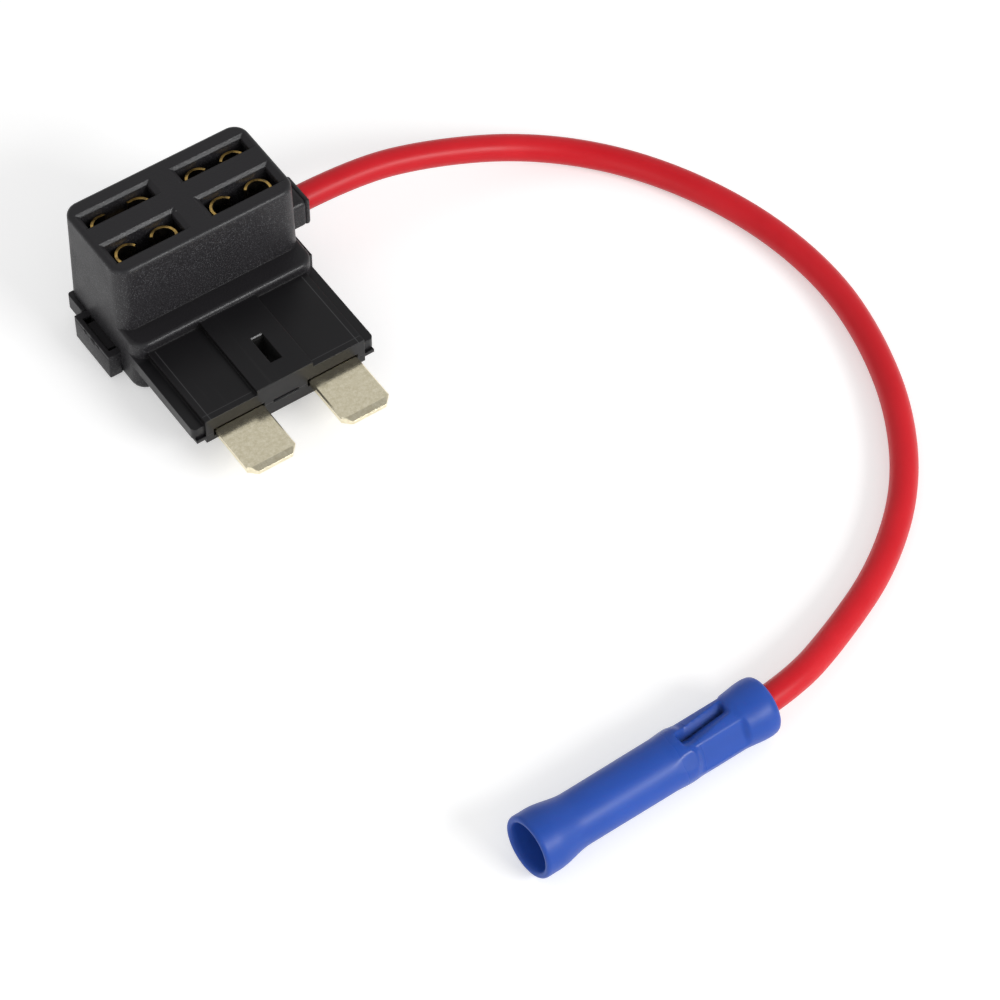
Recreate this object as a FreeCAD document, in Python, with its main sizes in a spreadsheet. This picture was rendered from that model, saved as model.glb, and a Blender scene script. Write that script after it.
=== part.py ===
import FreeCAD, Part
import math
import os
import re
import Sketcher

# Blade fuse tap: two fuses piggy-back on one fuse position, and a red lead carries the added circuit.
# It lies on its back. X runs across the slots, towards the lead. The blades point to -Y, the slots to +Z.
# While it is built, X = 0 is the housing's middle plane, Y = 0 its back and Z = 0 the surface under it.

# Driving dimensions in millimetres. The slope is in millimetres per millimetre, the turn in degrees.
SIZES = {
    # housing walls round the chambers, and its heights
    "side_wall": 0.92,
    "back_wall": 1.91,
    "row_wall": 1.24,
    "front_wall": 1.15,
    "body_height": 14.1,
    "parting_height": 3.34,
    "wall_slope": 0.014,
    "corner_radius": 1.5,
    "top_radius": 0.45,
    "ledge_reach": 2.25,
    "ledge_height": 6.34,
    "ledge_radius": 0.4,
    "tray_radius": 0.9,
    # plug that carries the blades
    "plug_reach": 9.64,
    "plug_height": 5.32,
    "plug_floor": 2.45,
    "band_width": 5.9,
    "band_height": 5.9,
    "band_floor": 1.85,
    "rail_width": 1.17,
    "rail_height": 4.6,
    "rail_setback": 0.25,
    "rail_radius": 0.5,
    "flange_inset": 0.18,
    "flange_height": 0.35,
    "slit_width": 2.7,
    "slit_height": 0.22,
    "slit_depth": 0.35,
    "vent_width": 1.15,
    "vent_length": 3.1,
    "vent_shift": 0.45,
    "vent_setback": 2.1,
    "vent_bevel": 0.3,
    # fuse slots and the chambers behind them
    "slot_pitch": 9.9,
    "slot_width": 7.0,
    "slot_lip": 0.9,
    "slot_bevel": 0.3,
    "end_bevel": 0.45,
    "front_slot_depth": 2.3,
    "back_slot_depth": 1.5,
    "chamber_undercut": 0.2,
    "chamber_depth": 2.9,
    # tap blades and their strips
    "blade_width": 5.1,
    "blade_thickness": 0.8,
    "blade_reach": 6.06,
    "blade_corner": 0.8,
    "blade_bevel": 0.14,
    "tip_length": 0.6,
    "tip_drop": 0.2,
    "strip_clearance": 0.12,
    # rolled contacts
    "contact_inset": 0.6,
    "contact_sheet": 0.25,
    "contact_drop": 1.0,
    "contact_notch": 1.4,
    "contact_tail": 3.2,
    "contact_clearance": 0.12,
    "roll_turn": 240,
    # lead, its boss and its crimp
    "lead_diameter": 2.6,
    "lead_offset": 0.19,
    "lead_rise": 2.56,
    "strand_diameter": 1.45,
    "crimp_diameter": 2.3,
    "crimp_length": 4.6,
    "crimp_clearance": 0.15,
    "crimp_gap": 0.35,
    "boss_reach": 2.6,
    "boss_width": 3.8,
    "boss_height": 3.3,
    "boss_radius": 0.5,
    # latches on both sides of the cover
    "latch_start": 3.4,
    "latch_length": 6.0,
    "latch_reach": 1.3,
    "latch_floor": 1.6,
    "latch_bar": 0.45,
    "latch_end": 0.7,
    "hook_clearance": 0.15,
    "hook_play": 0.5,
    "hook_sheet": 0.35,
    "hook_depth": 1.3,
    "hook_drop": 0.35,
    "pad_length": 2.6,
    "pad_reach": 0.45,
    "pad_radius": 0.3,
    # butt connector on the far end of the lead
    "sleeve_length": 24.5,
    "sleeve_diameter": 5.05,
    "sleeve_wall": 0.5,
    "near_bell_diameter": 5.85,
    "near_bell_length": 3.4,
    "near_bell_taper": 1.5,
    "far_bell_diameter": 5.6,
    "far_bell_length": 2.4,
    "far_bell_taper": 1.0,
    "bell_wall": 0.68,
    "barrel_length": 17.9,
    "barrel_bore": 2.35,
    "barrel_lip": 0.4,
    "bared_length": 6.0,
    "press_start": 3.6,
    "press_length": 4.5,
    "press_wall": 0.38,
    "press_slant": 1.4,
    "press_bulge": 0.14,
}

doc = FreeCAD.newDocument("fuse_tap")
sheet = doc.addObject("Spreadsheet::Sheet", "Sizes")
for row, (name, value) in enumerate(SIZES.items(), start=1):
    sheet.set(f"A{row}", name)
    sheet.set(f"B{row}", str(value))
    sheet.setAlias(f"B{row}", name)
doc.recompute()
parts = []


def size(name):
    """One value of the sheet, as a number."""
    return float(sheet.get(name))


def bound(formula):
    """A formula over the size names, as an expression over the sheet's cells."""

    def cell(word):
        return f"Sizes.{word[0]}" if word[0] in SIZES else word[0]

    return re.sub(r"[a-z][a-z_]*[a-z]", cell, formula)


# Places that many pieces share, as formulas over the sizes.
CHAMBER = "(slot_width / 2 + chamber_undercut)"
HALF = f"(slot_pitch / 2 + {CHAMBER} + side_wall)"
PLUG_HALF = f"({HALF} - rail_width)"
FRONT_ROW = "(back_wall + chamber_depth + row_wall)"
BODY_DEPTH = f"({FRONT_ROW} + chamber_depth + front_wall)"
LEDGE_FRONT = f"(-{BODY_DEPTH} - ledge_reach)"
PLUG_FRONT = f"({LEDGE_FRONT} - plug_reach)"
PLUG_ROOT = f"({LEDGE_FRONT} + ledge_reach)"
BLADE_TIP = f"({PLUG_FRONT} - blade_reach)"
STRIP_FLOOR = "(parting_height - blade_thickness / 2)"
STRIP_TOP = "(parting_height + blade_thickness / 2)"
LIP_FLOOR = "(body_height - slot_lip)"
BOSS_FACE = f"({HALF} + boss_reach)"
LATCH_FACE = f"({HALF} + latch_reach)"
LEAD_BACK = "(back_wall + chamber_depth + lead_offset)"
LEAD_HEIGHT = "(parting_height + lead_rise)"
CONTACT_DEPTH = "(chamber_depth - 3 * contact_clearance)"
# The origin is under the middle of the tap without its lead.
SHIFT_X = f"(({LATCH_FACE}) - ({BOSS_FACE})) / 2"
SHIFT_Y = f"-{BLADE_TIP} / 2"


def value(formula):
    """The number that a formula over the sizes comes to."""
    return float(sheet.evalExpression(bound(formula)))


def place(thing, x, y, z):
    """Bind where a piece stands, measured from the housing's middle plane, its back and the surface."""
    for axis, formula in zip("xyz", (x, y, z)):
        thing.setExpression(f"Placement.Base.{axis}", bound(formula))


def finish(label, thing, x="0", y="0", z="0"):
    """Name a sub-part, move it to the part's own frame and keep it for the export."""
    thing.Label = label
    place(thing, f"{SHIFT_X} + {x}", f"{SHIFT_Y} + {y}", z)
    parts.append(thing)
    return thing


def box(x_low, x_high, y_low, y_high, z_low, z_high):
    """A box between two planes on each axis."""
    solid = doc.addObject("Part::Box", "Block")
    for side, low, high in (("Length", x_low, x_high), ("Width", y_low, y_high), ("Height", z_low, z_high)):
        solid.setExpression(side, bound(f"({high}) - ({low})"))
    place(solid, x_low, y_low, z_low)
    return solid


def frustum(low, high, z_low, z_high):
    """A block between two levels with an outline (x from, x to, y from, y to) at each."""
    wedge = doc.addObject("Part::Wedge", "Tapered")
    limits = {
        "Xmin": low[0],
        "Xmax": low[1],
        "Zmin": f"-({low[3]})",
        "Zmax": f"-({low[2]})",
        "X2min": high[0],
        "X2max": high[1],
        "Z2min": f"-({high[3]})",
        "Z2max": f"-({high[2]})",
        "Ymin": z_low,
        "Ymax": z_high,
    }
    for limit, formula in limits.items():
        wedge.setExpression(limit, bound(formula))
    wedge.Placement.Rotation = FreeCAD.Rotation(FreeCAD.Vector(1, 0, 0), 90)
    return wedge


def rod(diameter, length, start):
    """A cylinder from a start point along X."""
    solid = doc.addObject("Part::Cylinder", "Rod")
    solid.setExpression("Radius", bound(f"({diameter}) / 2"))
    solid.setExpression("Height", bound(length))
    solid.Placement.Rotation = FreeCAD.Rotation(FreeCAD.Vector(0, 1, 0), 90)
    place(solid, *start)
    return solid


def joined(*solids):
    fuse = doc.addObject("Part::MultiFuse", "Joined")
    fuse.Shapes = list(solids)
    fuse.Refine = True
    return fuse


def cut(base, *tools):
    """Cut the tools from the base, and check that each one takes something away."""
    for tool in tools:
        result = doc.addObject("Part::Cut", "Cut")
        result.Base = base
        result.Tool = tool
        doc.recompute()
        if not result.Shape.Volume < base.Shape.Volume - 1e-4:
            raise RuntimeError(f"{tool.Name} cuts nothing")
        base = result
    return base


def rounded(base, radius, test, kind="Part::Fillet"):
    """Fillet or chamfer the straight edges whose two ends pass the test."""
    doc.recompute()
    picked = []
    for number, edge in enumerate(base.Shape.Edges, start=1):
        ends = [vertex.Point for vertex in edge.Vertexes]
        if len(ends) == 2 and isinstance(edge.Curve, Part.Line) and test(*ends):
            picked.append(number)
    if not picked:
        raise RuntimeError(f"no edge to round on {base.Name}")
    result = doc.addObject(kind, "Rounded")
    result.Base = base
    result.Edges = [(number, size(radius), size(radius)) for number in picked]
    doc.recompute()
    return result


def upright(first, second):
    """Whether an edge runs from the lower to the upper face of a block, whose walls may lean."""
    return abs(first.x - second.x) < 0.3 and abs(first.y - second.y) < 0.3 and abs(first.z - second.z) > 0.5


def level(height):
    """A test for edges that lie at one height."""
    return lambda first, second: abs(first.z - height) < 0.02 and abs(second.z - height) < 0.02


def sketch(body, plane, name, corners):
    """A closed outline on one of the body's planes, with every corner bound to the sheet."""
    outline = body.newObject("Sketcher::SketchObject", name)
    origin = next(item for item in body.Origin.OriginFeatures if item.Role == plane)
    outline.AttachmentSupport = [(origin, "")]
    outline.MapMode = "FlatFace"
    count = len(corners)
    # A round start shape keeps the lines from folding while the corners move to their places.
    angles = [2 * math.pi * turn / count for turn in range(count)]
    ring = [FreeCAD.Vector(math.cos(angle), math.sin(angle), 0) for angle in angles]
    for turn in range(count):
        outline.addGeometry(Part.LineSegment(ring[turn], ring[(turn + 1) % count]), False)
    for turn in range(count):
        outline.addConstraint(Sketcher.Constraint("Coincident", turn, 2, (turn + 1) % count, 1))
    for turn, corner in enumerate(corners):
        start = (ring[turn].x, ring[turn].y)
        for kind, formula, distance in zip(("DistanceX", "DistanceY"), corner, start):
            row = outline.addConstraint(Sketcher.Constraint(kind, -1, 1, turn, 1, distance))
            outline.setExpression(f"Constraints[{row}]", bound(formula))
    doc.recompute()
    return outline


def pad(body, outline, length):
    """Pad an outline to both sides of its plane."""
    sheet_metal = body.newObject("PartDesign::Pad", "Pad")
    sheet_metal.Profile = outline
    sheet_metal.SideType = "Symmetric"
    sheet_metal.setExpression("Length", bound(length))
    doc.recompute()
    return body


def turned(label, profile):
    """A body of revolution about X from an outline of lengths and radii."""
    body = doc.addObject("PartDesign::Body", label)
    outline = sketch(body, "XY_Plane", "Profile", profile)
    revolved = body.newObject("PartDesign::Revolution", "Revolution")
    revolved.Profile = outline
    revolved.ReferenceAxis = (outline, ["H_Axis"])
    revolved.Angle = 360
    doc.recompute()
    return body


def mirrored(side, near, far):
    """Low and high X of something that reaches from near to far on one side."""
    return (near, far) if side > 0 else (f"-({far})", f"-({near})")


def tapered(depth, height):
    """A block on the parting plane whose walls lean in with the mould's slope."""
    lean = f"wall_slope * ({height} - parting_height)"
    foot = (f"-{HALF}", HALF, f"-({depth})", "0")
    head = (f"-{HALF} + {lean}", f"{HALF} - {lean}", f"-({depth}) + {lean}", f"-{lean}")
    return frustum(foot, head, "parting_height", height)


SUPPLY_BACK = "(-back_wall)"
LOAD_BACK = f"(-{FRONT_ROW})"
BOTH_STRIPS = ((-1, SUPPLY_BACK), (1, LOAD_BACK))


def strip_room(side, back, low, high):
    """The room for one blade and its strip in one half of the housing."""
    middle = f"({side} * slot_pitch / 2)"
    narrow = "(blade_width / 2 + strip_clearance)"
    wide = "(slot_width / 2 + strip_clearance)"
    throat = box(f"{middle} - {narrow}", f"{middle} + {narrow}", f"{PLUG_FRONT} - 1", LEDGE_FRONT, low, high)
    hall = box(f"{middle} - {wide}", f"{middle} + {wide}", LEDGE_FRONT, back, low, high)
    return joined(throat, hall)


def fuse_mouth(side, start, depth):
    """One slot through the top face, with lead-in bevels all round."""
    left = f"({side} * slot_pitch / 2) - slot_width / 2"
    right = f"({side} * slot_pitch / 2) + slot_width / 2"
    front = f"-{start} - {depth}"
    back = f"-{start}"
    hole = box(left, right, front, back, f"{LIP_FLOOR} - 1", "body_height")
    foot = (left, right, front, back)
    head = (f"{left} - 2 * end_bevel", f"{right} + 2 * end_bevel",
            f"{front} - 2 * slot_bevel", f"{back} + 2 * slot_bevel")
    funnel = frustum(foot, head, "body_height - slot_bevel", "body_height + slot_bevel")
    return joined(hole, funnel)


def chamber(side, start):
    """The room for one rolled contact, wider than the slot above it."""
    middle = f"({side} * slot_pitch / 2)"
    return box(f"{middle} - {CHAMBER}", f"{middle} + {CHAMBER}", f"-{start} - chamber_depth", f"-{start}",
               "parting_height - 1", LIP_FLOOR)


def vent():
    """The slot through the plug's middle band, in both halves, with a lead-in bevel at its back."""
    left = "vent_shift - vent_width / 2"
    right = "vent_shift + vent_width / 2"
    front = f"{PLUG_FRONT} + vent_setback"
    back = f"{front} + vent_length"
    hole = box(left, right, front, back, "-1", "body_height")
    foot = (left, right, front, back)
    head = (f"{left} - vent_bevel / 2", right, front, f"{back} + 2 * vent_bevel")
    return joined(hole, frustum(foot, head, "band_height - vent_bevel", "band_height + vent_bevel"))


def crimp_room():
    """The room between the chambers where the crimp on the lead lies."""
    reach = "(crimp_diameter / 2 + crimp_clearance)"
    inside = f"(slot_pitch / 2 + {CHAMBER})"
    return box(f"{inside} - crimp_length - 1", inside, f"-{LEAD_BACK} - {reach}", f"-{LEAD_BACK} + {reach}",
               f"{LEAD_HEIGHT} - {reach}", f"{LEAD_HEIGHT} + {reach}")


def plug_rails():
    """The rails along both sides of the plug, with rounded front ends."""
    front = value(f"{PLUG_FRONT} + rail_setback")
    rails = box(f"-{HALF}", HALF, f"{PLUG_FRONT} + rail_setback", PLUG_ROOT, "parting_height", "rail_height")

    def front_corner(first, second):
        return upright(first, second) and first.y < front + 0.1

    return rounded(rails, "rail_radius", front_corner)


def lead_boss():
    """The block on the housing's side that the lead comes out of."""
    half = "boss_width / 2"
    rise = "boss_height / 2"
    boss = box(f"{HALF} - corner_radius", BOSS_FACE, f"-{LEAD_BACK} - {half}", f"-{LEAD_BACK} + {half}",
               f"{LEAD_HEIGHT} - {rise}", f"{LEAD_HEIGHT} + {rise}")
    face = value(BOSS_FACE)
    return rounded(boss, "boss_radius", lambda first, second: max(first.x, second.x) > face - 0.01)


HOOK_ENDS = ("-latch_start - latch_length + latch_end + hook_play", "-latch_start - latch_end - hook_play")


def hook(side):
    """The tongue that comes down the cover's side and snaps behind its latch loop."""
    outer = f"{LATCH_FACE} - latch_bar - hook_clearance"
    stem = box(*mirrored(side, f"{HALF} - hook_sheet", f"{HALF} - hook_sheet / 4"), *HOOK_ENDS,
               "parting_height - hook_depth", "parting_height + hook_sheet")
    barb = box(*mirrored(side, f"{HALF} - hook_sheet", outer), *HOOK_ENDS,
               "parting_height - hook_depth", "parting_height - hook_drop")
    return joined(stem, barb)


def hook_room(side):
    """The recess in the cover's side that the hook slides down."""
    low, high = HOOK_ENDS
    inner = f"{HALF} - hook_sheet - hook_clearance"
    return box(*mirrored(side, inner, f"{HALF} + hook_clearance"), f"{low} - hook_clearance",
               f"{high} + hook_clearance", "parting_height - hook_depth - hook_clearance", "body_height")


def upper_housing():
    """Fuse block, ledge and upper half of the plug, in one moulding."""
    doc.recompute()
    block = rounded(tapered(BODY_DEPTH, "body_height"), "corner_radius", upright)
    block = rounded(block, "top_radius", level(size("body_height")))
    ledge = rounded(tapered(f"{BODY_DEPTH} + ledge_reach", "ledge_height"), "corner_radius", upright)
    ledge = rounded(ledge, "ledge_radius", level(size("ledge_height")))
    plug = box(f"-{PLUG_HALF}", PLUG_HALF, PLUG_FRONT, PLUG_ROOT, "parting_height", "plug_height")
    band = box("-band_width / 2", "band_width / 2", PLUG_FRONT, PLUG_ROOT, "parting_height", "band_height")
    body = joined(block, ledge, plug, plug_rails(), band, lead_boss(), hook(-1), hook(1))

    tools = []
    for side in (-1, 1):
        tools.append(chamber(side, FRONT_ROW))
        tools.append(chamber(side, "back_wall"))
        tools.append(fuse_mouth(side, FRONT_ROW, "front_slot_depth"))
        tools.append(fuse_mouth(side, "back_wall", "back_slot_depth"))
    for side, back in BOTH_STRIPS:
        tools.append(strip_room(side, back, "parting_height - 1", f"{STRIP_TOP} + strip_clearance"))
    tools.append(crimp_room())
    tools.append(rod("lead_diameter", f"{BOSS_FACE} - slot_pitch / 2", ("slot_pitch / 2", f"-{LEAD_BACK}", LEAD_HEIGHT)))
    tools.append(vent())
    tools.append(box("-slit_width / 2", "slit_width / 2", f"{PLUG_FRONT} - 1", f"{PLUG_FRONT} + slit_depth",
                     "parting_height - 1", "parting_height + slit_height"))
    return finish("upper_housing", cut(body, *tools))


def latch_loop(side):
    """An open loop on the cover's side, which the hook drops into."""
    low, high = "-latch_start - latch_length", "-latch_start"
    loop = box(*mirrored(side, f"{HALF} - latch_bar", LATCH_FACE), low, high, "latch_floor", "parting_height")
    hole = box(*mirrored(side, HALF, f"{LATCH_FACE} - latch_bar"), f"{low} + latch_end", f"{high} - latch_end",
               "0", "body_height")
    return cut(loop, hole)


def thumb_pad(side):
    """The rounded pad behind each loop, which the cover is pushed home with."""
    block = box(*mirrored(side, f"{HALF} - latch_bar", f"{HALF} + pad_reach"), "-pad_length - latch_end",
                "-latch_end", "latch_floor", "parting_height")
    face = value(HALF)
    return rounded(block, "pad_radius", lambda first, second: upright(first, second) and abs(first.x) > face)


def back_cover():
    """The tray that closes the back, with the lower half of the plug."""
    tray = box(f"-{HALF}", HALF, LEDGE_FRONT, "0", "0", "parting_height")
    tray = rounded(tray, "corner_radius", upright)
    tray = rounded(tray, "tray_radius", level(0))
    plug = box(f"-{PLUG_HALF}", PLUG_HALF, PLUG_FRONT, PLUG_ROOT, "plug_floor", "parting_height")
    band = box("-band_width / 2", "band_width / 2", PLUG_FRONT, PLUG_ROOT, "band_floor", "parting_height")
    flange = box(f"-{HALF} + flange_inset", f"{HALF} - flange_inset", PLUG_FRONT, PLUG_ROOT,
                 "parting_height - flange_height", "parting_height")
    extras = [latch_loop(-1), latch_loop(1), thumb_pad(-1), thumb_pad(1)]
    body = joined(tray, plug, band, flange, *extras)
    tools = [strip_room(side, back, STRIP_FLOOR, "parting_height + 1") for side, back in BOTH_STRIPS]
    tools += [hook_room(-1), hook_room(1), vent()]
    return finish("back_cover", cut(body, *tools))


def blade(label, side, back):
    """A tap blade and the strip behind it, cut from one sheet, with a bevelled tip."""
    body = doc.addObject("PartDesign::Body", "Sheet")
    middle = f"{side} * slot_pitch / 2"
    narrow, wide = "blade_width / 2", "slot_width / 2"
    right = [
        (f"{narrow} - blade_corner", BLADE_TIP),
        (narrow, f"{BLADE_TIP} + blade_corner"),
        (narrow, LEDGE_FRONT),
        (wide, LEDGE_FRONT),
        (wide, back),
    ]
    left = [(f"-({x})", y) for x, y in reversed(right)]
    corners = [(f"{middle} + {x}", y) for x, y in right + left]
    outline = sketch(body, "XY_Plane", "Outline", corners)
    outline.setExpression("AttachmentOffset.Base.z", bound("parting_height"))
    pad(body, outline, "blade_thickness")
    faces = (value(STRIP_FLOOR), value(STRIP_TOP))
    shoulder = value(LEDGE_FRONT) + 0.01

    def on_rim(first, second):
        flat = any(level(face)(first, second) for face in faces)
        return flat and first.y < shoulder and second.y < shoulder

    bevelled = rounded(body, "blade_bevel", on_rim, "Part::Chamfer")
    sides = (f"{middle} - blade_width", f"{middle} + blade_width", f"{BLADE_TIP} - 1")
    above = frustum((*sides, BLADE_TIP), (*sides, f"{BLADE_TIP} + tip_length"),
                    f"{STRIP_TOP} - tip_drop", STRIP_TOP)
    below = frustum((*sides, f"{BLADE_TIP} + tip_length"), (*sides, BLADE_TIP),
                    STRIP_FLOOR, f"{STRIP_FLOOR} + tip_drop")
    return finish(label, cut(bevelled, above, below))


def curl(middle_x, middle_y, radius, side, facing):
    """One rolled edge as outer arc, free end and inner arc, and the two points where it leaves the base."""
    stop = math.radians(size("roll_turn"))
    inner = radius - size("contact_sheet")

    def at(angle, reach):
        across = side * reach * math.sin(angle)
        return FreeCAD.Vector(middle_x + across, middle_y - facing * reach * math.cos(angle), 0)

    outer_arc = Part.Arc(at(0, radius), at(stop / 2, radius), at(stop, radius))
    end = Part.LineSegment(at(stop, radius), at(stop, inner))
    inner_arc = Part.Arc(at(stop, inner), at(stop / 2, inner), at(0, inner))
    return [outer_arc, end, inner_arc], at(0, radius), at(0, inner)


CONTACT_TOP = "(body_height - contact_drop)"
CONTACT_FOOT = f"({LEAD_HEIGHT} + crimp_diameter / 2 + crimp_gap)"


def contact_shape(side, base_y, facing):
    """A flat sheet with both edges rolled over it, which grips a fuse blade. Its base stands at base_y."""
    middle = side * size("slot_pitch") / 2
    thickness = size("contact_sheet")
    radius = value(CONTACT_DEPTH) / 2
    spread = value(CHAMBER) - size("contact_inset") - radius
    top = value(CONTACT_TOP)
    foot = value(CONTACT_FOOT)
    centre_y = base_y + facing * radius
    right, right_outer, right_inner = curl(middle + spread, centre_y, radius, 1, facing)
    left, left_outer, left_inner = curl(middle - spread, centre_y, radius, -1, facing)
    lines = [Part.LineSegment(left_outer, right_outer), Part.LineSegment(right_inner, left_inner)]
    wire = Part.Wire(Part.__sortEdges__([item.toShape() for item in right + left + lines]))
    solid = Part.Face(wire).extrude(FreeCAD.Vector(0, 0, top - foot))
    solid.translate(FreeCAD.Vector(0, 0, foot))
    low = min(base_y, base_y + facing * thickness)
    notch_width = 2 * spread - radius
    corner = FreeCAD.Vector(middle - notch_width / 2, low, top - size("contact_notch"))
    return solid.cut(Part.makeBox(notch_width, thickness, size("contact_notch"), corner))


def contact_tail(side, base_y, facing, foot):
    """The flat tail that carries a contact, from its foot up to the rolled edges."""
    width = size("contact_tail")
    low = min(base_y, base_y + facing * size("contact_sheet"))
    corner = FreeCAD.Vector(side * size("slot_pitch") / 2 - width / 2, low, foot)
    return Part.makeBox(width, size("contact_sheet"), value(CONTACT_FOOT) - foot, corner)


def feature(label, shape):
    """Keep a shape that Part's own functions made."""
    thing = doc.addObject("Part::Feature", label)
    thing.Shape = shape
    return finish(label, thing)


def contacts():
    """The three contacts that stand on the strips."""
    clearance = size("contact_clearance")
    foot = value(STRIP_TOP)
    front = -value(FRONT_ROW) - clearance - value(CONTACT_DEPTH)
    back = -size("back_wall") - clearance
    for label, side, base_y, facing in (
        ("contact_front_left", -1, front, 1),
        ("contact_front_right", 1, front, 1),
        ("contact_back_left", -1, back, -1),
    ):
        shape = contact_shape(side, base_y, facing).fuse(contact_tail(side, base_y, facing, foot))
        feature(label, shape.removeSplitter())


def lead_terminal():
    """The fourth contact, which ends in a barrel crimped on the lead. Returns where the crimp starts."""
    sheet_middle = size("contact_sheet") / 2
    base_y = -size("back_wall") - size("contact_clearance") - value(CONTACT_DEPTH)
    centre_y, centre_z = -value(LEAD_BACK), value(LEAD_HEIGHT)
    radius = size("crimp_diameter") / 2
    strand = size("strand_diameter") / 2
    start = size("slot_pitch") / 2 + value(CHAMBER) - size("crimp_length") - size("crimp_clearance")
    corner = FreeCAD.Vector(start, centre_y, centre_z)
    barrel = Part.makeCylinder(radius, size("crimp_length"), corner, FreeCAD.Vector(1, 0, 0))
    # The tail ends inside the barrel's wall, halfway between the strands and its outside.
    wall_middle = (radius + strand) / 2
    foot = centre_z + math.sqrt(wall_middle ** 2 - (base_y + sheet_middle - centre_y) ** 2)
    shape = contact_shape(1, base_y, 1).fuse([contact_tail(1, base_y, 1, foot), barrel])
    bore = Part.makeCylinder(strand, size("crimp_length"), corner, FreeCAD.Vector(1, 0, 0))
    feature("lead_terminal", shape.cut(bore).removeSplitter())
    return start


def lead_root(crimp_start):
    """Bare strands in the crimp, and the stretch of the lead inside the boss."""
    axis = FreeCAD.Vector(1, 0, 0)
    bare_end = crimp_start + size("crimp_length")
    centre = (-value(LEAD_BACK), value(LEAD_HEIGHT))
    first = FreeCAD.Vector(crimp_start, *centre)
    feature("strands_in_crimp", Part.makeCylinder(size("strand_diameter") / 2, bare_end - crimp_start, first, axis))
    second = FreeCAD.Vector(bare_end, *centre)
    stub = Part.makeCylinder(size("lead_diameter") / 2, value(BOSS_FACE) - bare_end, second, axis)
    feature("lead_in_boss", stub)


# Where the lead lies between the boss and the connector, from the housing's middle plane, its back and the surface.
LEAD_ROUTE = [
    (26.2, -6.2, 4.75),
    (34.6, -8.4, 2.5),
    (41.2, -13.2, 1.3),
    (45.6, -20.3, 1.3),
    (48.5, -28.6, 1.3),
    (49.4, -37.4, 1.3),
    (48.1, -45.3, 1.3),
    (45.2, -53.2, 1.3),
    (40.3, -60.5, 1.3),
    (33.4, -66.1, 1.3),
    (25.6, -69.8, 1.7),
]
LEAD_START = 6.5
LEAD_END = 6.2
# Near end of the connector's axis, which lies at the larger bell's radius above the surface.
CONNECTOR_X = -9.05
CONNECTOR_Y = -73.0
CONNECTOR_Z = "near_bell_diameter / 2"
BARREL_IN = "((sleeve_length - barrel_length) / 2)"


def lead():
    """The free stretch of the lead: straight runs joined by arcs as large as the runs allow."""
    start = FreeCAD.Vector(value(BOSS_FACE), -value(LEAD_BACK), value(LEAD_HEIGHT))
    barrel_end = CONNECTOR_X + value(f"{BARREL_IN} + barrel_length")
    end = FreeCAD.Vector(barrel_end, CONNECTOR_Y, value(CONNECTOR_Z))
    points = [start, start + FreeCAD.Vector(LEAD_START, 0, 0)]
    points += [FreeCAD.Vector(*point) for point in LEAD_ROUTE]
    points += [end + FreeCAD.Vector(LEAD_END, 0, 0), end]
    pieces = []
    radii = []
    last = points[0]
    for before, corner, after in zip(points, points[1:], points[2:]):
        arrive = (corner - before).normalize()
        leave = (after - corner).normalize()
        turn = arrive.getAngle(leave)
        reach = 0.45 * min((corner - before).Length, (after - corner).Length)
        radius = reach / math.tan(turn / 2)
        radii.append(radius)
        first = corner - arrive * reach
        second = corner + leave * reach
        middle = corner + (leave - arrive).normalize() * (radius / math.cos(turn / 2) - radius)
        pieces += [Part.LineSegment(last, first), Part.Arc(first, middle, second)]
        last = second
    pieces.append(Part.LineSegment(last, points[-1]))
    path = Part.Wire([piece.toShape() for piece in pieces])
    ring = Part.Wire([Part.Circle(start, FreeCAD.Vector(1, 0, 0), size("lead_diameter") / 2).toShape()])
    tube = path.makePipeShell([ring], True, True)
    expected = math.pi * size("lead_diameter") ** 2 / 4 * path.Length
    print("lead length", round(path.Length, 2), "smallest radius", round(min(radii), 2))
    print("lead radii", [round(radius, 1) for radius in radii])
    print("lead volume", round(tube.Volume, 2), "expected", round(expected, 2))
    if abs(tube.Volume / expected - 1) > 0.005:
        raise RuntimeError("the lead's volume doesn't match its section and length")
    feature("lead", tube)


# Section of the mark that the crimping tool leaves, as (Y, Z) in sleeve radii from the sleeve's axis:
# a flat towards the front, a narrow crease and a second flat towards the back.
PRESS_SECTION = [
    (-0.97, 0.46),
    (-0.29, 0.81),
    (0.18, 0.73),
    (0.31, 0.62),
    (0.44, 0.67),
    (0.91, 0.48),
    (1.3, 1.3),
    (-1.3, 1.3),
]
PRESS_FAR = "(sleeve_length - press_start)"
PRESS_NEAR = "(sleeve_length - press_start - press_length)"


def press_mark(near, far, sink):
    """What the crimping tool presses away, between two places on the sleeve, sunk by a wall or not."""
    body = doc.addObject("PartDesign::Body", "Press")
    corners = [(f"{y} * sleeve_diameter / 2", f"{z} * sleeve_diameter / 2") for y, z in PRESS_SECTION]
    outline = sketch(body, "YZ_Plane", "Section", corners)
    pad(body, outline, f"{far} - {near}")
    place(body, f"({far} + {near}) / 2", "0", f"-({sink})")
    return body


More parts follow.
